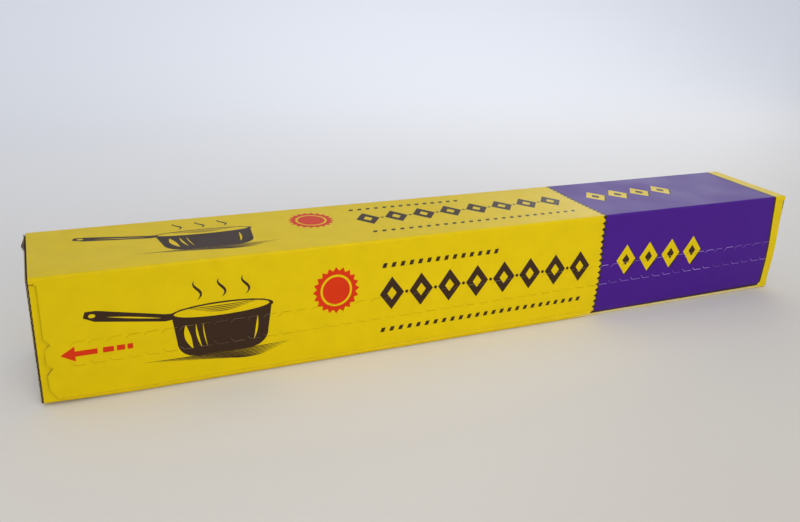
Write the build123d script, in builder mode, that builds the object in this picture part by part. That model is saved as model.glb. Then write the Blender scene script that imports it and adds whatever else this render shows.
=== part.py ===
from build123d import *
import os

# A sealed carton of catering foil: one folded blank of corrugated board, filled by a wound roll and lying on its base.
# X runs along the roll, the front with its tear strip faces -Y, and the origin is at the middle of the base panel.

# Carton over its long folds
panel_length = 465.0
box_depth = 64.5
box_height = 66.5
board = 1.2
fold_radius = 1.2

# Front wall, pushed out by the roll and kinked along its two tear lines
belly = 1.8
toe = 0.6

# Outer front panel, hinged on the top panel: a full-length root, then cut back at both ends
root_height = 3.0
root_corner = 1.2
tab_inset = 3.1
tail_inset = 6.0
lower_edge_height = 2.2
lower_edge_rise = 1.0
tab_cut_width = 3.8
tab_cut_height = 7.0
tail_cut = 3.4

# Tear strip across the outer front panel, climbing to the right, with a pull tab at its left end
strip_height = 28.0
strip_width = 12.5
strip_rise = 2.6
notch_depth = 2.5
notch_flare = 3.4
tab_corner = 2.5

# Hooked cuts of the tear lines: a slanted tick inside the strip, then a run along the line
hook_pitch = 8.4
hook_run = 5.6
tick_length = 2.0
tick_height = 2.0
cut_width = 0.35
cut_depth = 0.6

# End flaps, hinged on the base panel and glued over the ends
flap_top_gap = 0.6
flap_back_gap = 1.0

# Open flutes in the cut edges of the end flaps
liner = 0.2
flute_pitch = 3.3
flute_mouth = 2.7
flute_rise = 0.65
flute_depth = 3.0

# Relief slit under the root where the outer front panel is cut back
slit_height = 0.3
slit_depth = 1.0

# Splayed spot in the top edge of the left end flap
splay_start = 7.0
splay_peak = 19.0
splay_end = 26.0
splay_out = 1.3
splay_drop = 7.0
splay_taper = 0.25

# Places that follow from the sizes above
end_x = panel_length / 2
front_y = -box_depth / 2
back_y = box_depth / 2
strip_y = front_y - belly
tear_top = strip_height + strip_width / 2
tear_bottom = strip_height - strip_width / 2
root_z = box_height - root_height
tab_x = -end_x + tab_inset
tail_x = end_x - tail_inset
flap_front_y = front_y + board
flap_back_y = back_y - flap_back_gap
flap_top_z = box_height - flap_top_gap
weld = board / 3

os.makedirs("parts", exist_ok=True)


def facing_front(y):
    """Plane across the carton at y, with X to the right, Z up and its normal towards the front."""
    return Plane(origin=(0, y, 0), x_dir=(1, 0, 0), z_dir=(0, -1, 0))


def on_strip(x, z):
    """Point of the outer front panel, lifted by the tear strip's climb from left to right."""
    return (x, z + strip_rise * x / panel_length)


def on_lower_edge(x, z):
    """Point of the outer front panel, lifted by the climb of its lower edge from left to right."""
    return (x, z + lower_edge_rise * x / panel_length)


# Inner front, base, back and top panels, folded round the roll and filled by it
with BuildPart() as wrapped_panels:
    with BuildSketch(Plane.YZ) as girth:
        with BuildLine():
            Polyline(
                (flap_front_y, box_height),
                (strip_y + board, tear_top),
                (strip_y + board, tear_bottom),
                (front_y - toe + board, 0),
                (back_y, 0),
                (back_y, box_height),
                close=True,
            )
        make_face()
        back_folds = girth.vertices().group_by(Axis.X)[-1]
        front_fold = girth.vertices().group_by(Axis.Y)[0].sort_by(Axis.X)[0]
        fillet([*back_folds, front_fold], fold_radius)
    extrude(amount=end_x, both=True)
    for slit_x, inset in ((-end_x + tab_inset / 2, tab_inset), (end_x - tail_inset / 2, tail_inset)):
        with Locations((slit_x, flap_front_y, root_z - slit_height / 2)):
            Box(inset, 2 * slit_depth, slit_height, mode=Mode.SUBTRACT)

# Outer front panel: folded over the top edge, trimmed to its die-cut outline and cut along the tear lines
with BuildPart() as front_panel:
    with BuildSketch(Plane.YZ) as front_section:
        with BuildLine():
            Polyline(
                (front_y, box_height),
                (strip_y, tear_top),
                (strip_y, tear_bottom),
                (front_y - toe, 0),
                (front_y - toe + board + weld, 0),
                (strip_y + board + weld, tear_bottom),
                (strip_y + board + weld, tear_top),
                (flap_front_y + fold_radius, box_height),
                close=True,
            )
        make_face()
        top_fold = front_section.vertices().group_by(Axis.Y)[-1].sort_by(Axis.X)[0]
        fillet(top_fold, fold_radius)
    extrude(amount=end_x, both=True)

    with BuildSketch(Plane.XZ) as outline:
        with BuildLine():
            Polyline(
                (-end_x, 2 * box_height),
                (-end_x, root_z),
                (tab_x - root_corner, root_z),
                (tab_x, root_z - root_corner),
                on_strip(tab_x, tear_top + notch_flare),
                on_strip(tab_x + notch_depth, tear_top),
                on_strip(tab_x, tear_top - tab_corner),
                on_strip(tab_x, tear_bottom + tab_corner),
                on_strip(tab_x + notch_depth, tear_bottom),
                on_strip(tab_x, tear_bottom - notch_flare),
                on_lower_edge(tab_x, lower_edge_height + tab_cut_height),
                on_lower_edge(tab_x + tab_cut_width, lower_edge_height),
                on_lower_edge(tail_x - tail_cut, lower_edge_height),
                on_lower_edge(tail_x, lower_edge_height + tail_cut),
                (tail_x, root_z - root_corner),
                (tail_x + root_corner, root_z),
                (end_x, root_z),
                (end_x, 2 * box_height),
                close=True,
            )
        make_face()
    extrude(amount=box_depth, both=True, mode=Mode.INTERSECT)

    cut_start_x = tab_x + notch_depth
    hook_count = int((tail_x - cut_start_x) / hook_pitch)
    first_hook_x = tail_x - hook_count * hook_pitch
    for side, tear_z in ((1, tear_top), (-1, tear_bottom)):
        with BuildSketch() as hook:
            with BuildLine():
                Polyline((0, -side * tick_height), (tick_length, 0), (tick_length + hook_run, 0))
            trace(line_width=cut_width)
        hook_places = [on_strip(first_hook_x + step * hook_pitch, tear_z) for step in range(hook_count)]
        with BuildSketch(facing_front(strip_y)) as tear_line:
            with Locations(*hook_places):
                add(hook.sketch)
        extrude(amount=-cut_depth, mode=Mode.SUBTRACT)

# End flap, folded up from the base panel, with the board's flutes open in its front and back edges
with BuildPart() as end_flap:
    with BuildSketch(facing_front(flap_back_y)) as flap_section:
        with BuildLine():
            Polyline(
                (-end_x - board, 0),
                (-end_x + weld, 0),
                (-end_x + weld, flap_top_z),
                (-end_x - board, flap_top_z),
                close=True,
            )
        make_face()
        hinge_fold = flap_section.vertices().group_by(Axis.X)[0].sort_by(Axis.Y)[0]
        fillet(hinge_fold, fold_radius)
    extrude(amount=flap_back_y - flap_front_y)

    with BuildSketch() as flute:
        with BuildLine():
            foot = Line((0, -flute_mouth / 2), (0, flute_mouth / 2))
            ThreePointArc(foot @ 1, (flute_rise, 0), foot @ 0)
        make_face()
    flute_count = int((flap_top_z - fold_radius) / flute_pitch)
    flute_places = []
    for step in range(flute_count):
        flute_z = flap_top_z - (step + 0.5) * flute_pitch
        flute_places.append(Location((-end_x - board + liner, flute_z)))
        flute_places.append(Location((-end_x - liner, flute_z - flute_pitch / 2), 180))
    for edge_y, inward in ((flap_front_y, -1), (flap_back_y, 1)):
        with BuildSketch(facing_front(edge_y)) as flute_mouths:
            with Locations(*flute_places):
                add(flute.sketch)
        extrude(amount=inward * flute_depth, mode=Mode.SUBTRACT)

# The whole sealed pack, one solid
with BuildPart() as foil_carton:
    add(wrapped_panels.part)
    add(front_panel.part)
    add(end_flap.part)
    mirror(end_flap.part, about=Plane.YZ)
    for level, share in ((flap_top_z, 1), (flap_top_z - splay_drop, splay_taper)):
        with BuildSketch(Plane.XY.offset(level)) as splay:
            with BuildLine():
                Polyline(
                    (-end_x - board / 2, back_y - splay_start),
                    (-end_x - board, back_y - splay_start),
                    (-end_x - board - share * splay_out, back_y - splay_peak),
                    (-end_x - board, back_y - splay_end),
                    (-end_x - board / 2, back_y - splay_end),
                    close=True,
                )
            make_face()
    loft()

foil_carton.part.label = "foil_carton"
export_step(foil_carton.part, "parts/foil_carton.step")
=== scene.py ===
import math

import bpy
import numpy as np
from mathutils import Matrix, Vector
from mathutils.geometry import delaunay_2d_cdt


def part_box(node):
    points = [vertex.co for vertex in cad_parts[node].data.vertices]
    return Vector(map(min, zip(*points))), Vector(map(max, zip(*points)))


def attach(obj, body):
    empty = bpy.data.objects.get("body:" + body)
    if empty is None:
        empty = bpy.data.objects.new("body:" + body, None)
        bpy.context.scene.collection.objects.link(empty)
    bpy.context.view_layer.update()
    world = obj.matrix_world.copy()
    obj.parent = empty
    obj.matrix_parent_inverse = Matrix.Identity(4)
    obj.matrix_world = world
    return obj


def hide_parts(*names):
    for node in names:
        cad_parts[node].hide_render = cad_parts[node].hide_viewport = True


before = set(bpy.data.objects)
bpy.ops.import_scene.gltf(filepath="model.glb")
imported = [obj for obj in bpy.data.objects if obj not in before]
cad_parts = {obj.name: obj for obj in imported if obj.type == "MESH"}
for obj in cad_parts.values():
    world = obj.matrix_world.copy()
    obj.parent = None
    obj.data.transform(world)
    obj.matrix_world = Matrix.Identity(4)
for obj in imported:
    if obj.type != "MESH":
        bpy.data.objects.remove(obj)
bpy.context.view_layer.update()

# Blank: one die-cut sheet of fine-fluted board with a white outer liner, folded round the roll.
# Inner front, base, back, top and outer front follow one another round the girth, and the roll
# inside pushes the front out, so that it kinks along its two tear lines. All sizes are in mm.
MM = 0.001
low, high = [[1000 * c for c in corner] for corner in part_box("foil_carton")]
board = 1.2
fold_radius = 1.2
kink_radius = 9.0
fold_steps = 8
belly = 1.8
toe = 0.6
end_x = high[0] - board
box_height = high[2]
back_y = high[1]
strip_y = low[1]
front_y = strip_y + belly
strip_height = 28.0
strip_width = 12.5
tear_top = strip_height + strip_width / 2
tear_bottom = strip_height - strip_width / 2
root_height = 3.0
inner_overlap = 0.4
root_z = box_height - root_height
inner_top_z = root_z + inner_overlap
inner_top_y = front_y + board - belly * (box_height - inner_top_z) / (box_height - tear_top)


def rounded_path(corners):
    """Rows of length along the path, y, z and outward normal, for (y, z, radius) corners that turn left."""
    rows = []
    for index, (y, z, radius) in enumerate(corners):
        corner = np.array((y, z))
        ahead = np.array(corners[min(index + 1, len(corners) - 1)][:2]) - corner
        behind = corner - np.array(corners[max(index - 1, 0)][:2])
        heading_in = math.atan2(*(behind if index else ahead)[::-1])
        heading_out = math.atan2(*(ahead if index < len(corners) - 1 else behind)[::-1])
        turn = (heading_out - heading_in) % math.tau
        reach = radius * math.tan(turn / 2)
        inward_in = np.array((-math.sin(heading_in), math.cos(heading_in)))
        centre = corner - reach * np.array((math.cos(heading_in), math.sin(heading_in))) + radius * inward_in
        for step in range(fold_steps + 1 if radius else 1):
            heading = heading_in + turn * step / fold_steps
            outward = np.array((math.sin(heading), -math.cos(heading)))
            spot = centre + radius * outward
            length = rows[-1][0] + math.hypot(*(spot - rows[-1][1:3])) if rows else 0.0
            rows.append(np.array((length, *spot, *outward)))
    return np.array(rows)


girth = rounded_path([
    (inner_top_y, inner_top_z, 0),
    (strip_y + board, tear_top, kink_radius),
    (strip_y + board, tear_bottom, kink_radius),
    (front_y - toe + board, 0, fold_radius),
    (back_y, 0, fold_radius),
    (back_y, box_height, fold_radius),
    (front_y, box_height, fold_radius),
    (strip_y, tear_top, kink_radius),
    (strip_y, tear_bottom, kink_radius),
    (front_y - toe, 0, 0),
])
fold_names = ("inner_top", "inner_bottom", "base_front", "base_back",
              "top_back", "top_front", "tear_top", "tear_bottom")
fold_rows = fold_steps + 1
folds = {name: slice(1 + n * fold_rows, 1 + (n + 1) * fold_rows) for n, name in enumerate(fold_names)}


def fold_v(name, share=0.5):
    """Length along the girth at a fold: share 0 where its bend starts, 1 where it ends."""
    bend = girth[folds[name], 0]
    return bend[0] + share * (bend[-1] - bend[0])


def front_v(z):
    """Length along the girth at height z of the outer front."""
    down = girth[folds["top_front"].start:]
    return float(np.interp(-z, -down[:, 2], down[:, 0]))


def top_v(depth):
    """Length along the girth on the top, at a distance from the plane of the front."""
    ahead = girth[folds["top_back"].start:folds["top_front"].stop]
    return float(np.interp(-(front_y + depth), -ahead[:, 1], ahead[:, 0]))


def back_v(z):
    """Length along the girth at height z of the back."""
    up = girth[folds["base_back"].start:folds["top_back"].stop]
    return float(np.interp(z, up[:, 2], up[:, 0]))


# Outer front panel: the last panel of the blank, hinged on the top along its full length, then
# cut back at both ends and glued over the inner front. Its die-cut edge leaves a pull tab between
# two notches at the left.
tab_inset = 3.1
tail_inset = 6.0
tab_x = tab_inset - end_x
tail_x = end_x - tail_inset
root_corner = 1.2
lower_edge_height = 2.2
lower_edge_rise = 1.0
strip_rise = 2.6
tab_cut = (3.8, 7.0)
tail_cut = 3.4
notch_depth = 2.5
notch_flare = 3.4
tab_corner = 2.5


def on_strip(x, z):
    """Point of the blank on the outer front panel, lifted by the tear strip's climb from left to right."""
    return (x, front_v(z + strip_rise * x / (2 * end_x)))


def on_lower_edge(x, z):
    """Point of the blank on the outer front panel, lifted by the climb of its lower edge."""
    return (x, front_v(z + lower_edge_rise * x / (2 * end_x)))


root_v = front_v(root_z)
lower_edge = [
    on_lower_edge(tail_x - tail_cut, lower_edge_height),
    on_lower_edge(tab_x + tab_cut[0], lower_edge_height),
]
panel_edge = [
    (tail_x + root_corner, root_v),
    (tail_x, front_v(root_z - root_corner)),
    on_lower_edge(tail_x, lower_edge_height + tail_cut),
    *lower_edge,
    on_lower_edge(tab_x, lower_edge_height + tab_cut[1]),
    on_strip(tab_x, tear_bottom - notch_flare),
    on_strip(tab_x + notch_depth, tear_bottom),
    on_strip(tab_x, tear_bottom + tab_corner),
    on_strip(tab_x, tear_top - tab_corner),
    on_strip(tab_x + notch_depth, tear_top),
    on_strip(tab_x, tear_top + notch_flare),
    (tab_x, front_v(root_z - root_corner)),
    (tab_x - root_corner, root_v),
]

# Upper corner of the pull tab, thumbed in from just below it to half-way into the notch
tab_top_corner = [
    on_strip(tab_x, tear_top - 1.6 * tab_corner),
    on_strip(tab_x, tear_top - tab_corner),
    on_strip(tab_x + 0.55 * notch_depth, tear_top - 0.45 * tab_corner),
]

# Outline of the whole blank, with a relief cut in the top left corner of the inner front
relief = (4.6, 1.1)
outline = [
    (-end_x, relief[1]), (relief[0] - end_x, relief[1]), (relief[0] - end_x, 0), (end_x, 0),
    (end_x, root_v), *panel_edge, (-end_x, root_v),
]

# Print: solid inks laid down before the board is cut and folded. A purple field with a saw-toothed
# edge covers the right third of front, top and back, and front and top carry the same row of
# plain figures.
marks = []
tooth_pitch = 3.9
tooth_reach = 2.7
tooth_shadow = (1.3, 0.35)
field_x = 315.2
field_end_x = 456.5
field_skew = 1.4
keyline = 1.35


def saw_field(left, right, first_v, last_v, shift_v):
    """Outline of the field: toothed down its left side, its right side askew on the front."""
    count = round((last_v - first_v) / tooth_pitch)
    side = [(left - end_x, first_v)]
    for tooth in range(count):
        foot = first_v + tooth * tooth_pitch + shift_v
        side.append((left - end_x, foot))
        side.append((left + tooth_reach - end_x, foot + tooth_pitch / 2))
    side.append((left - end_x, last_v))
    return side + [(right + field_skew - end_x, last_v), (right - end_x, fold_v("top_front", 1.0)),
                   (right - end_x, first_v)]


field_first_v = back_v(lower_edge_height)
field_last_v = girth[-1, 0]
marks.append(("brown", saw_field(field_x, field_end_x, field_first_v, field_last_v, 0)))
marks.append(("purple", saw_field(field_x + tooth_shadow[0], field_end_x - keyline,
                                  field_first_v + keyline, field_last_v, tooth_shadow[1])))


def ellipse(x, h, half_x, half_h, points):
    """Outline of an ellipse round a point."""
    turns = [math.tau * step / points for step in range(points)]
    return [(x + half_x * math.cos(turn), h + half_h * math.sin(turn)) for turn in turns]


def lozenge(x, h, half_x, half_h):
    """Outline of a lozenge round a point."""
    return [(x - half_x, h), (x, h - half_h), (x + half_x, h), (x, h + half_h)]


def burst(x, h, radius, points, hollow):
    """Outline of a pointed rim round a point, whose hollows lie at a share of its radius."""
    turns = [math.tau * step / (2 * points) for step in range(2 * points)]
    return [(x + radius * (hollow if step % 2 else 1) * math.cos(turn),
             h + radius * (hollow if step % 2 else 1) * math.sin(turn)) for step, turn in enumerate(turns)]


def stroke(points, width):
    """Outline of a line of points drawn with a pen of a given width, pointed at both ends."""
    line = np.array(points, float)
    along = np.gradient(line, axis=0)
    across = np.stack((-along[:, 1], along[:, 0]), 1) / np.linalg.norm(along, axis=1)[:, None]
    blunt = 0.12
    taper = np.sin(np.linspace(blunt, math.pi - blunt, len(line)))[:, None] * width / 2
    return [tuple(point) for point in np.vstack((line + across * taper, (line - across * taper)[::-1]))]


def slanted_dash(x, h, length, height):
    """Outline of a short bar that leans to the right."""
    lean = height / 3
    return [(x, h), (x + length, h), (x + length + lean, h + height), (x + lean, h + height)]


def panel_figures():
    """Inks and outlines of one panel's figures: x from its left end, height from its lower edge."""
    figures = []

    # Hatched shadow of a saucepan
    pan_x = 86
    for line in range(7):
        reach = 37 - 4.6 * line
        hatch = [(pan_x - 2 + t * reach + 2.4 * line, 16.6 - 0.8 * line + 0.7 * t * t)
                 for t in np.linspace(-1, 1, 13)]
        figures.append(("brown", stroke(hatch, 0.75)))

    # Its body and long handle, with highlights left in the yellow of the ground
    rim_h = 40.5
    body_half = 25
    bowl_radius = 9
    bowl_corner = [(pan_x + 14 + bowl_radius * math.cos(turn), 26 + bowl_radius * math.sin(turn))
                   for turn in np.linspace(0, -math.pi / 2, 9)]
    bowl = bowl_corner + [(2 * pan_x - x, h) for x, h in bowl_corner[::-1]]
    figures.append(("brown", [(pan_x + body_half, rim_h), *bowl, (pan_x - body_half, rim_h)]))
    handle = [(62, 41.8), (58, 42.0), (27, 48.4), (22, 48.4), (21, 45.4), (26, 43.0), (58, 38.2), (62, 38.6)]
    figures.append(("brown", handle))
    groove = [(56 - 24 * t, 40.3 + 4.2 * t) for t in np.linspace(0, 1, 9)]
    figures.append(("yellow", stroke(groove, 0.8)))
    figures.append(("yellow", ellipse(25, 46, 1.6, 1.0, 14)))
    figures.append(("brown", ellipse(pan_x, rim_h, 26, 4.3, 40)))
    figures.append(("yellow", ellipse(pan_x, 40.8, 23.8, 3.1, 40)))
    for line in range(4):
        hatch = [(pan_x + t * (22 - 4.4 * line), 42.6 - 0.9 * line + 0.9 * t * t)
                 for t in np.linspace(-1, 1, 13)]
        figures.append(("brown", stroke(hatch, 0.45)))
    for top_x, lean, width in ((67.5, 3.0, 3.0), (72.5, 2.4, 1.1), (76.0, 1.8, 0.6), (103.5, -2.0, 1.2)):
        highlight = [(top_x + lean * t * t, 34.6 - 13 * t) for t in np.linspace(0, 1, 11)]
        figures.append(("yellow", stroke(highlight, width)))

    # Three wisps of steam
    for steam_x in (74, 86, 98):
        wisp = [(steam_x + 1.8 * math.sin(5.5 * t), 47 + 10 * t) for t in np.linspace(0, 1, 15)]
        figures.append(("brown", stroke(wisp, 1.4)))

    # Round seal with a pointed rim
    seal = (146, 42)
    figures.append(("red", burst(*seal, 13, 20, 0.84)))
    figures.append(("yellow", ellipse(*seal, 8.8, 8.8, 36)))
    figures.append(("red", ellipse(*seal, 7.6, 7.6, 36)))

    # Chain of lozenges, dark on the yellow and yellow with a dark shadow on the purple
    link_pitch = 17.6
    link_h = 36.0
    link_half = (7.2, 9.6)
    eye_half = (2.8, 3.7)
    dark_links = 8
    for link in range(dark_links):
        link_x = 178 + link_pitch * link
        figures.append(("brown", lozenge(link_x, link_h, *link_half)))
        figures.append(("yellow", lozenge(link_x, link_h, *eye_half)))
        if link < dark_links - 1:
            figures.append(("brown", ellipse(link_x + link_pitch / 2, link_h, 1.0, 1.0, 12)))
    for link in range(4):
        link_x = 336 + link_pitch * link
        figures.append(("brown", lozenge(link_x + 0.9, link_h - 0.8, *link_half)))
        figures.append(("yellow", lozenge(link_x, link_h, *link_half)))
        figures.append(("brown", lozenge(link_x, link_h, *eye_half)))

    # Rows of small slanted dashes above and below the chain
    for dashes, dash_pitch, row_h in ((14, 5.3, 51.0), (25, 5.4, 13.0)):
        for dash in range(dashes):
            figures.append(("brown", slanted_dash(172 + dash_pitch * dash, row_h, 2.4, 2.7)))
    return figures


for ink, figure in panel_figures():
    marks.append((ink, [(x - end_x, top_v(h)) for x, h in figure]))
    marks.append((ink, [on_strip(x - end_x, h) for x, h in figure]))

# Arrow on the tear strip that points at the pull tab, with three shrinking dashes behind it
shaft = 1.4
arrow = [(9.5, 0), (16, 4), (16, shaft), (26, shaft), (26, -shaft), (16, -shaft), (16, -4)]
marks.append(("red", [on_strip(x - end_x, strip_height + h) for x, h in arrow]))
for dash, dash_length in enumerate((5.0, 3.8, 2.6)):
    dash_x = 28.4 + 7.0 * dash - 0.7 * dash * dash
    bar = [(dash_x, -shaft), (dash_x + dash_length, -shaft), (dash_x + dash_length, shaft), (dash_x, shaft)]
    marks.append(("red", [on_strip(x - end_x, strip_height + h) for x, h in bar]))

# Keyline under the field, just above the panel's lower edge, and the bare ground below it
askew_end_x = field_end_x + field_skew
for ink, above, below in (("brown", 2.85, 1.6), ("yellow", 1.6, -9.0)):
    band = [(field_x, above), (askew_end_x, above), (askew_end_x, below), (field_x, below)]
    marks.append((ink, [on_strip(x - end_x, z) for x, z in band]))

# Tear lines: rows of hooked cuts that stop short of the inner liner. Each is a slanted tick inside the strip
# and a run along the line, and its crushed rim shows the white paper under the ink. In the yellow the rim is
# instead painted darker than the ink, as painted shade in the cut.
hook_pitch = 8.4
hook_run = 5.6
tick = (2.0, 2.0)
cut_depth = 0.3
run_shares = (0.8, 1.05)
drop_shares = (0.75, 1.0)

# Widths of the cuts, which gape more in the purple field
closed_cut = (0.1, 0.2)
open_cut = (0.16, 0.42)
cuts = []
hook_count = int((tail_x - tab_x - notch_depth) / hook_pitch)
first_hook_x = tail_x - hook_count * hook_pitch
knife = np.random.default_rng(11)
for side, line_z in ((1, tear_top), (-1, tear_bottom)):
    for step in range(hook_count):
        hook_x = first_hook_x + step * hook_pitch
        width = knife.uniform(*(closed_cut if hook_x < field_x - end_x else open_cut))
        reach = tick[0] + hook_run * knife.uniform(*run_shares)
        drop = tick[1] * knife.uniform(*drop_shares)
        mitre = width / 2 * math.tan(math.pi / 8)
        lean = width / 2 * math.sqrt(0.5)
        hook = [(tick[0] - drop - lean, -drop + lean), (tick[0] - mitre, width / 2), (reach, width / 2),
                (reach, -width / 2), (tick[0] + mitre, -width / 2), (tick[0] - drop + lean, -drop - lean)]
        cuts.append([on_strip(hook_x + x, line_z + side * z) for x, z in hook])

# Sheet: the flat blank is divided along its outline, its print and its cuts, then folded. Its printed face,
# its brown inner face and the layers in its cut edges are one closed mesh.
wall = 1.15
flute_pitch = 3.3
row_gap = 7.0
column_gap = 7.0
edge_gap = 0.8
edge_insets = (0.3, 0.7, 1.1, 1.6, 2.2)
end_insets = np.array((0.5, 1.0, 1.6, 2.4, 3.6, 5.0))
bend_margin = 0.8
weld_distance = 1e-4


def subdivided(polygon, gap):
    """The polygon with points added so that no side is longer than gap."""
    points = []
    for (x0, y0), (x1, y1) in zip(polygon, polygon[1:] + polygon[:1]):
        pieces = max(1, math.ceil(math.hypot(x1 - x0, y1 - y0) / gap))
        points += [(x0 + (x1 - x0) * n / pieces, y0 + (y1 - y0) * n / pieces) for n in range(pieces)]
    return points


def inside(polygon, points):
    """Mask of the points that lie inside a polygon."""
    corners = np.array(polygon)
    mask = np.zeros(len(points), bool)
    near = np.all((points >= corners.min(0)) & (points <= corners.max(0)), axis=1)
    x, y = points[near].T
    hit = np.zeros(len(x), bool)
    for (x0, y0), (x1, y1) in zip(corners, np.roll(corners, -1, axis=0)):
        crossing = (y0 > y) != (y1 > y)
        hit ^= crossing & (x < x0 + (x1 - x0) * (y - y0) / (y1 - y0 if y1 != y0 else 1))
    mask[near] = hit
    return mask


plan_points = []
plan_edges = []


def draw(points, closed=True):
    """Adds a line of points, joined by edges, to the plan of the flat blank."""
    first = len(plan_points)
    plan_points.extend(points)
    last = len(plan_points) - 1
    plan_edges.extend((n, n + 1) for n in range(first, last))
    if closed:
        plan_edges.append((last, first))


draw(subdivided(outline, column_gap))
for _, polygon in marks:
    draw(subdivided(polygon, column_gap))
for polygon in cuts:
    draw(polygon)

# Close rows of points along the outer front panel's edge, where it is crushed
for start, stop in zip(np.array(panel_edge[:-1]), np.array(panel_edge[1:])):
    along = stop - start
    span = np.linalg.norm(along)
    inward = np.array((-along[1], along[0])) / span
    for step in range(math.ceil(span / edge_gap)):
        for inset in edge_insets:
            plan_points.append(tuple(start + along * step * edge_gap / span + inward * inset))

# Rows round the girth, close in the folds, and columns along the roll, close at both ends
columns = np.unique([*np.linspace(-end_x, end_x, round(2 * end_x / column_gap) + 1),
                     *(end_insets - end_x), *(end_x - end_insets)])
bends = list(girth[:, 0])
for name in fold_names:
    bends += [fold_v(name, 0.0) - bend_margin, fold_v(name, 1.0) + bend_margin]
bends.sort()
row_vs = []
for start, stop in zip(bends[:-1], bends[1:]):
    row_vs += list(np.linspace(start, stop, max(1, math.ceil((stop - start) / row_gap)), endpoint=False))
for row_v in row_vs[1:]:
    if row_v < root_v:
        draw([(x, row_v) for x in columns], closed=False)
    else:
        plan_points += [(x, row_v) for x in columns]

plan = delaunay_2d_cdt(plan_points, plan_edges, [], 0, weld_distance, False)
flat = np.array([tuple(point) for point in plan[0]])
triangles = np.array([face for face in plan[2] if len(face) == 3])
middles = flat[triangles].mean(axis=1)
kept = inside(outline, middles)
triangles = triangles[kept]
middles = middles[kept]
inks = ["yellow", "purple", "brown", "red"]
face_ink = np.zeros(len(triangles), int)
for ink, polygon in marks:
    face_ink[inside(polygon, middles)] = inks.index(ink)
face_cut = np.zeros(len(triangles), bool)
for polygon in cuts:
    face_cut |= inside(polygon, middles)

base_lift = 1.5
lift_length = 46
lift_height = 14
lift_curve = 1.3


def lifted(x, z):
    """Height of a point of the carton, whose bowed base leaves the table towards the left end."""
    near_end = np.clip(1 - (x + end_x) / lift_length, 0, 1)
    return z + base_lift * near_end ** lift_curve * np.clip(1 - z / lift_height, 0, 1)


def folded(points, depth):
    """Places in metres of points of the flat blank, at a depth in mm below its printed face."""
    y, z, out_y, out_z = [np.interp(points[:, 1], girth[:, 0], girth[:, n]) for n in range(1, 5)]
    x = points[:, 0]
    return np.stack((x, y - depth * out_y, lifted(x, z - depth * out_z)), 1) * MM


def distance_to(points, line):
    """Distance of each point of the flat blank from a line of points on it."""
    nearest = np.full(len(points), np.inf)
    for start, stop in zip(np.array(line[:-1]), np.array(line[1:])):
        along = stop - start
        share = np.clip((points - start) @ along / (along @ along), 0, 1)
        nearest = np.minimum(nearest, np.linalg.norm(points - start - share[:, None] * along, axis=1))
    return nearest


crush_depth = 0.35
crush_reach = 1.2
thumb_depth = 1.0
thumb_reach = 1.8
crease_depth = 0.7
crease_width = 0.45
crease_inset = 1.2
crease_rise = 1.2
flute_share = 0.3
sag_depth = 0.25
ripples = ((0.1, 41, 2), (0.05, 17, 5))
sagging_panels = (("base_back", "top_back"), ("top_back", "top_front"), ("top_front", "tear_top"))


def dents(points):
    """Depth in mm of the printed face below its true place: crushed edges, a crease, and panels that sag."""
    x, v = points.T
    crushed = crush_depth * np.clip(1 - distance_to(points, panel_edge) / crush_reach, 0, 1) ** 2
    thumbed = thumb_depth * np.clip(1 - distance_to(points, tab_top_corner) / thumb_reach, 0, 1) ** 1.5
    flutes = 1 - flute_share + flute_share * np.sin(math.tau * x / flute_pitch)
    crease = crease_inset + crease_rise * x / (2 * end_x)
    off_crease = distance_to(points, lower_edge) - crease
    groove = crease_depth * flutes * np.exp(-(off_crease / crease_width) ** 2)
    sag = np.zeros(len(points))
    for first, last in sagging_panels:
        across = np.clip((v - fold_v(first, 1.0)) / (fold_v(last, 0.0) - fold_v(first, 1.0)), 0, 1)
        waves = sag_depth
        for depth, length, lean in ripples:
            waves = waves + depth * np.sin(x / length + lean * across)
        sag += np.sin(math.pi * across) ** 2 * waves * (1 - (x / end_x) ** 8)
    return np.maximum(crushed, thumbed) + groove + sag


edge_layers = [(0.18, "paper_edge"), (0.82, "flute_edge"), (1.0, "kraft_edge")]
paper_slots = ["paper_edge", "flute_edge", "kraft_edge", "kraft", "flute", "white"]
slots = inks + ["cut_" + ink for ink in inks] + paper_slots
count = len(flat)
dent = dents(flat)
layers = [folded(flat, dent), folded(flat, dent + cut_depth)]
layers += [folded(flat, dent + share * (wall - dent)) for share, _ in edge_layers]
places = np.concatenate(layers)
faces = []
face_slots = []


def add_face(corners, slot):
    """Adds a face of the blank with the slot of its material."""
    faces.append(tuple(int(corner) for corner in corners))
    face_slots.append(slots.index(slot))


rims = {}
for (a, b, c), ink, cut in zip(triangles, face_ink, face_cut):
    sunk = count if cut else 0
    add_face((c + sunk, b + sunk, a + sunk), ("cut_" if cut else "") + inks[ink])
    add_face(np.array((a, b, c)) + (len(layers) - 1) * count, "kraft")
    for start, stop in ((a, b), (b, c), (c, a)):
        rims[start, stop] = (cut, inks[ink])
for (start, stop), (cut, ink) in rims.items():
    across = rims.get((stop, start))
    if across is None:
        above = count if cut else 0
        for layer, (_, slot) in enumerate(edge_layers):
            below = (layer + 2) * count
            add_face((start + above, stop + above, stop + below, start + below), slot)
            above = below
    elif cut and not across[0]:
        add_face((start, stop, stop + count, start + count)[::-1], "cut_" + ink)

sharp_angle = 32


def used_points(polygons):
    """Numbers of the points that polygons use, in order."""
    return sorted({corner for polygon in polygons for corner in polygon})


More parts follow.
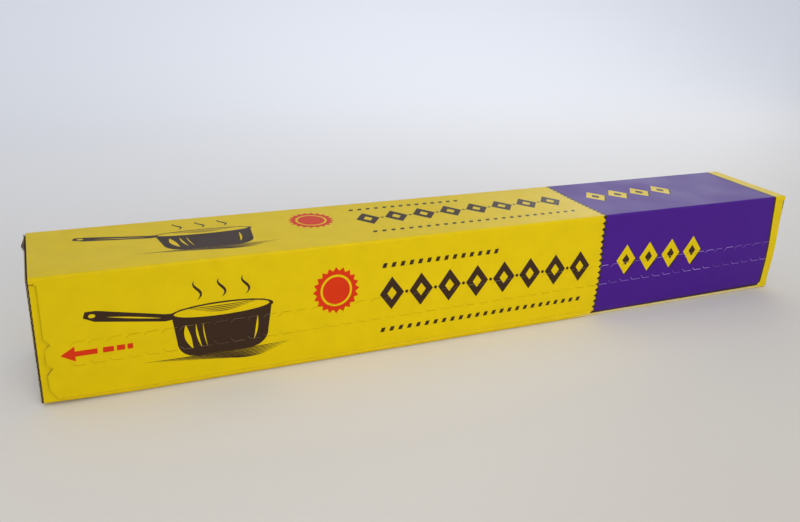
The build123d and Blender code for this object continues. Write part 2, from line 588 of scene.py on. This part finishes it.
def mesh_piece(name, points, polygons, polygon_slots, materials):
    """A smooth-shaded mesh object with sharp edges kept, unused points dropped."""
    used = used_points(polygons)
    renumbered = {corner: n for n, corner in enumerate(used)}
    mesh = bpy.data.meshes.new(name)
    mesh.from_pydata([tuple(points[n]) for n in used], [],
                     [[renumbered[corner] for corner in polygon] for polygon in polygons])
    for material in materials:
        mesh.materials.append(material)
    mesh.polygons.foreach_set("material_index", polygon_slots)
    mesh.polygons.foreach_set("use_smooth", [True] * len(polygons))
    mesh.set_sharp_from_angle(angle=math.radians(sharp_angle))
    piece = bpy.data.objects.new(name, mesh)
    bpy.context.scene.collection.objects.link(piece)
    return piece


def srgb(code):
    """Linear colour of a hex sRGB code."""
    parts = [int(code[n:n + 2], 16) / 255 for n in (1, 3, 5)]
    return (*[p / 12.92 if p <= 0.04045 else ((p + 0.055) / 1.055) ** 2.4 for p in parts], 1)


def bare_material(name):
    """A new material and its node tree, emptied."""
    material = bpy.data.materials.new(name)
    material.use_nodes = True
    material.node_tree.nodes.clear()
    return material, material.node_tree


def add_node(tree, kind, inputs, **settings):
    """Adds a node, sets its properties, and fills its inputs with values or with other nodes' sockets."""
    node = tree.nodes.new(kind)
    for key, value in settings.items():
        setattr(node, key, value)
    for key, value in inputs.items():
        if isinstance(value, bpy.types.NodeSocket):
            tree.links.new(value, node.inputs[key])
        else:
            node.inputs[key].default_value = value
    return node


# Sizes of the print's patterns. Paper grain is finer than this, and is drawn coarse enough to show. A wave
# texture of scale 1 repeats every tau / 20, which gives the ribs the flutes' pitch.
mottle_size = 11.0
patch_size = 6.0
sheen_size = 30.0
grain_size = 0.6
noise_range = {"From Min": 0.3, "From Max": 0.7}

# Varnish has an IOR of about 1.5. This thin, worn coat has a weaker sheen, so its IOR was matched lower.
coat_ior = 1.2


def printed_board(name, code, roughness):
    """Varnished litho ink on paper over flutes: satin, faintly mottled and ribbed, mixed paler towards cream
    in patches where a point attribute asks.
    """
    material, tree = bare_material(name)
    place = add_node(tree, "ShaderNodeTexCoord", {}).outputs["Object"]
    mottle = add_node(tree, "ShaderNodeTexNoise", {
        "Vector": place, "Scale": 1 / (mottle_size * MM), "Detail": 4})
    shade = add_node(tree, "ShaderNodeMapRange", {
        "Value": mottle.outputs["Fac"], **noise_range, "To Min": 0.965, "To Max": 1.035})
    ink = add_node(tree, "ShaderNodeMix", {0: 1.0, 6: srgb(code), 7: shade.outputs[0]},
                   data_type="RGBA", blend_type="MULTIPLY")
    # Ink mixed paler towards cream in patches, by the share held in a point attribute
    pale_fold = add_node(tree, "ShaderNodeAttribute", {}, attribute_name="pale_fold")
    patches = add_node(tree, "ShaderNodeTexNoise", {
        "Vector": place, "Scale": 1 / (patch_size * MM), "Detail": 5})
    patchy = add_node(tree, "ShaderNodeMapRange", {
        "Value": patches.outputs["Fac"], **noise_range, "To Min": 0.5, "To Max": 0.95})
    paler_share = add_node(tree, "ShaderNodeMath", {0: pale_fold.outputs["Fac"], 1: patchy.outputs[0]}, operation="MULTIPLY")
    colour = add_node(tree, "ShaderNodeMix", {0: paler_share.outputs[0], 6: ink.outputs[2], 7: srgb("#e0d5b4")},
                      data_type="RGBA")
    sheen = add_node(tree, "ShaderNodeTexNoise", {
        "Vector": place, "Scale": 1 / (sheen_size * MM), "Detail": 4})
    gloss = add_node(tree, "ShaderNodeMapRange", {
        "Value": sheen.outputs["Fac"], **noise_range, "To Min": roughness - 0.04, "To Max": roughness + 0.05})
    ribs = add_node(tree, "ShaderNodeTexWave", {"Vector": place, "Scale": math.tau / (20 * flute_pitch * MM)},
                    bands_direction="X")
    ribbed = add_node(tree, "ShaderNodeBump", {
        "Height": ribs.outputs["Fac"], "Strength": 0.5, "Distance": 0.01 * MM})
    grain = add_node(tree, "ShaderNodeTexNoise", {
        "Vector": place, "Scale": 1 / (grain_size * MM), "Detail": 3})
    grained = add_node(tree, "ShaderNodeBump", {
        "Height": grain.outputs["Fac"], "Strength": 0.3, "Distance": 0.02 * MM, "Normal": ribbed.outputs[0]})
    shader = add_node(tree, "ShaderNodeBsdfPrincipled", {
        "Base Color": colour.outputs[2], "Roughness": gloss.outputs[0], "IOR": coat_ior,
        "Normal": grained.outputs[0]})
    add_node(tree, "ShaderNodeOutputMaterial", {"Surface": shader.outputs[0]})
    return material


# Size of the clumps of fibre in brown paper, drawn coarser than they are so that they show
fibre_size = 2.0


def brown_board(name, code):
    """Unbleached kraft paper: matt, with a fibrous unevenness."""
    material, tree = bare_material(name)
    place = add_node(tree, "ShaderNodeTexCoord", {}).outputs["Object"]
    fibres = add_node(tree, "ShaderNodeTexNoise", {
        "Vector": place, "Scale": 1 / (fibre_size * MM), "Detail": 6})
    shade = add_node(tree, "ShaderNodeMapRange", {
        "Value": fibres.outputs["Fac"], **noise_range, "To Min": 0.8, "To Max": 1.15})
    colour = add_node(tree, "ShaderNodeMix", {0: 1.0, 6: srgb(code), 7: shade.outputs[0]},
                      data_type="RGBA", blend_type="MULTIPLY")
    shader = add_node(tree, "ShaderNodeBsdfPrincipled", {"Base Color": colour.outputs[2], "Roughness": 0.85})
    add_node(tree, "ShaderNodeOutputMaterial", {"Surface": shader.outputs[0]})
    return material


# One material for each slot: printed faces, rims of the cuts, layers in the cut edges, and bare papers
board_materials = [
    printed_board("yellow_varnished_print", "#dcbe00", 0.38),
    printed_board("purple_varnished_print", "#451881", 0.38),
    printed_board("brown_varnished_print", "#39271a", 0.38),
    printed_board("red_varnished_print", "#d2330c", 0.38),
    # Painted shade: the rim of the cuts in the yellow is darker than the yellow ink
    printed_board("cut_rim_in_yellow_with_painted_shade", "#bfa40c", 0.7),
    printed_board("cut_rim_in_purple", "#bba6dc", 0.7),
    printed_board("cut_rim_in_brown", "#b3a587", 0.7),
    printed_board("cut_rim_in_red", "#c8735a", 0.7),
    brown_board("liner_edge", "#b5a386"),
    # Painted light: the brown core of the cut edges is tinted olive, a painted yellow glow from the print
    # around it
    brown_board("crushed_core_edge_with_painted_bounce", "#6f5a22"),
    brown_board("kraft_liner_edge", "#6d5236"),
    brown_board("kraft_inner_face", "#6a4f33"),
    # Painted shade: the fluted medium is near-black, in place of the shadow inside the flutes
    brown_board("fluted_medium_with_painted_shade", "#241a13"),
    printed_board("unprinted_white_liner", "#d8d4cc", 0.6),
]
carton = mesh_piece("carton_blank", places, faces, face_slots, board_materials)

# Lower fold mixed paler towards cream in patches, fading in at the field's saw teeth and out where the panel
# is cut back
pale_fold_spread = 6.0
pale_fold_x = 70.0
pale_fold_fade = 20.0
pale_fold_share = np.exp(-(flat[:, 1] - fold_v("base_front")) ** 2 / pale_fold_spread)
pale_fold_share *= np.clip((flat[:, 0] - pale_fold_x) / pale_fold_fade, 0, 1) * np.clip((tail_x - flat[:, 0]) / tail_cut, 0, 1)
carton_points = np.array(used_points(faces))
pale_fold = carton.data.attributes.new("pale_fold", "FLOAT", "POINT")
pale_fold.data.foreach_set("value", pale_fold_share[carton_points % count])
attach(carton, "root")
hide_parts("foil_carton")

# Inner end flaps: folded in before the outer ones, they close the ends flush with the long panels.
# Only their rims show, between the outer flap and the panels. Plain brown board.
flap_inset = 0.3


def closing_flap(name, end):
    """One inner end flap, cut to the inside of the girth, at the left (-1) or right (1) end."""
    rim = girth[(girth[:, 0] > 0) & (girth[:, 0] < fold_v("top_front", 0.0))]
    count = len(rim)
    points = []
    for x in (end * (end_x - flap_inset), end * (end_x - flap_inset - board)):
        points += [(x * MM, (y - wall * out_y) * MM, lifted(x, z - wall * out_z) * MM)
                   for _, y, z, out_y, out_z in rim]
    order = range(count) if end > 0 else range(count - 1, -1, -1)
    polygons = [tuple(order), tuple(count + n for n in reversed(order))]
    for n in range(count):
        side = (n, (n + 1) % count, (n + 1) % count + count, n + count)
        polygons.append(side[::-1] if end > 0 else side)
    flap = mesh_piece(name, points, polygons, [0] * len(polygons), [board_materials[slots.index("kraft")]])
    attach(flap, "root")


closing_flap("inner_end_flap_left", -1)
closing_flap("inner_end_flap_right", 1)

# Outer end flaps: hinged on the base panel and glued up over the ends. Each is a white liner, a fluted medium
# and a brown liner, and the flutes lie open in the flap's front and back edges. The medium is painted
# near-black, as painted shade for the shadow inside the open flutes.
liner = 0.2
medium = 0.17
flap_back_gap = 1.0
flap_top_gap = 0.6
flap_front_y = front_y + board
flap_back_y = back_y - flap_back_gap
flap_top_z = box_height - flap_top_gap
flap_stations = 25
flap_rows = 22
hinge_rows = 8
flute_steps = 12
splay_y = (back_y - 26.0, back_y - 19.0, back_y - 7.0)
splay_out = 1.29
splay_drop = 7.0
splay_curve = 1.5


def splayed(x, y, z, share):
    """Moves a point of the left flap outward where the top edge has been forced open."""
    if y < splay_y[1]:
        along = (y - splay_y[0]) / (splay_y[1] - splay_y[0])
    else:
        along = (splay_y[2] - y) / (splay_y[2] - splay_y[1])
    up = 1 - (flap_top_z - z) / splay_drop
    return x - share * splay_out * max(0.0, along) * max(0.0, up) ** splay_curve


def layer_mesh(section, thickness, stations, splay_share, outer_slot, edge_slot):
    """Points, polygons and slots of one paper layer: an (x, z) section, thickened and run along y."""
    line = np.array(section)
    along = np.gradient(line, axis=0)
    across = np.stack((along[:, 1], -along[:, 0]), 1) / np.linalg.norm(along, axis=1)[:, None]
    ring = np.vstack((line, (line + across * thickness)[::-1]))
    half = len(line)
    size = len(ring)
    points = []
    for y in stations:
        points += [(splayed(x, y, z, splay_share), y, z) for x, z in ring]
    side_slots = [outer_slot] * (half - 1) + [edge_slot] + ["kraft"] * (half - 1) + [edge_slot]
    polygons = []
    polygon_slots = []
    for station in range(len(stations) - 1):
        near = station * size
        far = near + size
        for n, slot in enumerate(side_slots):
            following = (n + 1) % size
            polygons.append((near + n, far + n, far + following, near + following))
            polygon_slots.append(slot)
    for n in range(half - 1):
        ends = (n, size - 1 - n, size - 2 - n, n + 1)
        polygons.append(ends[::-1])
        polygons.append(tuple(corner + (len(stations) - 1) * size for corner in ends))
        polygon_slots += [edge_slot, edge_slot]
    return points, polygons, polygon_slots


def outer_flap(name, end, splay_share):
    """One outer end flap of three papers, drawn for the left (-1) end and mirrored for the right (1)."""
    spaced = np.linspace(flap_front_y, flap_back_y, flap_stations)
    stations = sorted({flap_front_y, flap_back_y, *splay_y, *spaced})
    outer_x = -end_x - board
    hinge = [(outer_x + fold_radius * (1 - math.sin(turn)), fold_radius * (1 - math.cos(turn)))
             for turn in np.linspace(0, math.pi / 2, hinge_rows)]
    outer_line = hinge + [(outer_x, z) for z in np.linspace(fold_radius, flap_top_z, flap_rows)[1:]]
    inner_line = [(-end_x - liner, z) for z in (0.5 * fold_radius, flap_top_z - splay_drop, flap_top_z)]
    swing = (board - 2 * liner - medium) / 2
    wave_z = np.arange(fold_radius, flap_top_z, flute_pitch / flute_steps)
    wave = [(-end_x - board / 2 - medium / 2 - swing * math.cos(math.tau * (flap_top_z - z) / flute_pitch), z)
            for z in wave_z]
    papers = [
        (outer_line, liner, 1.0, "white", "paper_edge"),
        (wave, medium, 0.5, "flute", "paper_edge"),
        (inner_line, liner, 0.0, "kraft", "kraft_edge"),
    ]
    points = []
    polygons = []
    polygon_slots = []
    for section, thickness, share, outer_slot, edge_slot in papers:
        more_points, more_polygons, more_slots = layer_mesh(
            section, thickness, stations, share * splay_share, outer_slot, edge_slot)
        first = len(points)
        points += more_points
        polygons += [tuple(first + corner for corner in polygon) for polygon in more_polygons]
        polygon_slots += more_slots
    points = [(-end * x * MM, y * MM, lifted(-end * x, z) * MM) for x, y, z in points]
    if end < 0:
        polygons = [polygon[::-1] for polygon in polygons]
    flap = mesh_piece(name, points, polygons, [slots.index(slot) for slot in polygon_slots], board_materials)
    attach(flap, "root")


outer_flap("end_flap_left", -1, 1.0)
outer_flap("end_flap_right", 1, 0.0)

# Studio: a white tent round a sheet of pale paper, which curves up behind the carton. A low soft box and
# a narrow lamp stand by the camera, a strip lamp hangs over the carton and a wider one over the back of
# the paper, and the top reflects a bright panel behind it. Sizes here are in metres.
sweep_front = -2.0
sweep_bend = 0.55
sweep_radius = 0.5
sweep_top = 2.4
sweep_half = 3.0
profile = [(sweep_front, 0.0), (0.0, 0.0)]
profile += [(sweep_bend + sweep_radius * math.sin(turn), sweep_radius * (1 - math.cos(turn)))
            for turn in np.linspace(0, math.pi / 2, 24)]
profile.append((sweep_bend + sweep_radius, sweep_top))
sweep_points = [(x, y, z) for y, z in profile for x in (-sweep_half, sweep_half)]
sweep_faces = [(2 * n, 2 * n + 1, 2 * n + 3, 2 * n + 2) for n in range(len(profile) - 1)]

# Uncoated paper, quite matt. Its colour is painted warm in front and cool towards the back as a painted tint
# of the light, and painted shade greys it towards the right front
paper, tree = bare_material("pale_paper_sweep")
place = add_node(tree, "ShaderNodeTexCoord", {}).outputs["Object"]
depth = add_node(tree, "ShaderNodeSeparateXYZ", {"Vector": place}).outputs["Y"]
share = add_node(tree, "ShaderNodeMapRange", {"Value": depth, "From Min": -0.35, "From Max": 1.05})
# Painted tint of the light: the paper's colour runs from warm in front to cool at the back
tone = add_node(tree, "ShaderNodeMix", {0: share.outputs[0], 6: srgb("#e9e1d2"), 7: srgb("#e6ebf4")},
                data_type="RGBA")
# Painted shade: the paper's colour is darkened by up to 13 percent towards the right front
across = add_node(tree, "ShaderNodeVectorMath", {0: place, 1: (0.6, -0.8, 0.0)}, operation="DOT_PRODUCT")
painted_shade_ramp = add_node(tree, "ShaderNodeMapRange", {
    "Value": across.outputs["Value"], "From Min": 0.04, "From Max": 0.22, "To Min": 1.0, "To Max": 0.87},
    interpolation_type="SMOOTHSTEP")
paper_tone_with_painted_light = add_node(tree, "ShaderNodeMix", {0: 1.0, 6: tone.outputs[2], 7: painted_shade_ramp.outputs[0]},
                      data_type="RGBA", blend_type="MULTIPLY")
shader = add_node(tree, "ShaderNodeBsdfPrincipled", {
    "Base Color": paper_tone_with_painted_light.outputs[2], "Roughness": 0.9, "IOR": 1.2})
add_node(tree, "ShaderNodeOutputMaterial", {"Surface": shader.outputs[0]})
sweep = mesh_piece("paper_sweep", sweep_points, sweep_faces, [0] * len(sweep_faces), [paper])

world = bpy.data.worlds.new("white_room")
bpy.context.scene.world = world
world.use_nodes = True
world.node_tree.nodes["Background"].inputs["Color"].default_value = srgb("#f2f4fa")
world.node_tree.nodes["Background"].inputs["Strength"].default_value = 0.82


def soft_box(name, place, aim, size, power, spread=180):
    """A rectangular lamp at a place, turned to its aim, with its beam narrowed to a spread in degrees."""
    lamp = bpy.data.lights.new(name, "AREA")
    lamp.shape = "RECTANGLE"
    lamp.size, lamp.size_y = size
    lamp.energy = power
    lamp.spread = math.radians(spread)
    holder = bpy.data.objects.new(name, lamp)
    holder.location = place
    holder.rotation_mode = "QUATERNION"
    holder.rotation_quaternion = (Vector(aim) - Vector(place)).to_track_quat("-Z", "Y")
    bpy.context.scene.collection.objects.link(holder)


soft_box("camera_soft_box", (0.35, -1.5, 0.5), (0.05, 0.0, 0.03), (1.0, 0.5), 4.5)
soft_box("carton_lamp", (0.35, -1.5, 0.5), (0.03, 0.0, 0.03), (0.3, 0.3), 0.103, 30)
soft_box("strip_lamp", (-0.04, -0.35, 1.15), (-0.04, -0.02, 0.05), (0.3, 0.03), 0.009, 11)
soft_box("paper_lamp", (0.44, 0.6, 0.9), (0.44, 0.6, 0.0), (0.9, 0.25), 0.7, 84)
soft_box("bright_panel", (0.8, 0.97, 0.5), (0.05, 0.0, 0.07), (1.0, 0.5), 0.23, 50)

# Camera: near the carton's left end, looking down along it. Its place, its angles and its focal length
# in pixels were worked out from the carton's edges in the photograph.
focal_px = 809.4
image_width = 800
camera_place = (-0.22043, -0.40168, 0.21377)
turn, dip, roll = (math.radians(angle) for angle in (24.786, 21.517, 2.689))
camera = bpy.data.objects.new("camera", bpy.data.cameras.new("camera"))
bpy.context.scene.collection.objects.link(camera)
camera.data.sensor_width = 36.0
camera.data.lens = focal_px / image_width * camera.data.sensor_width
camera.data.clip_start = 0.01
camera.matrix_world = (Matrix.Translation(camera_place) @ Matrix.Rotation(-turn, 4, "Z")
                       @ Matrix.Rotation(math.pi / 2 - dip, 4, "X") @ Matrix.Rotation(roll, 4, "Z"))
bpy.context.scene.camera = camera
bpy.context.scene.view_settings.view_transform = "Standard"
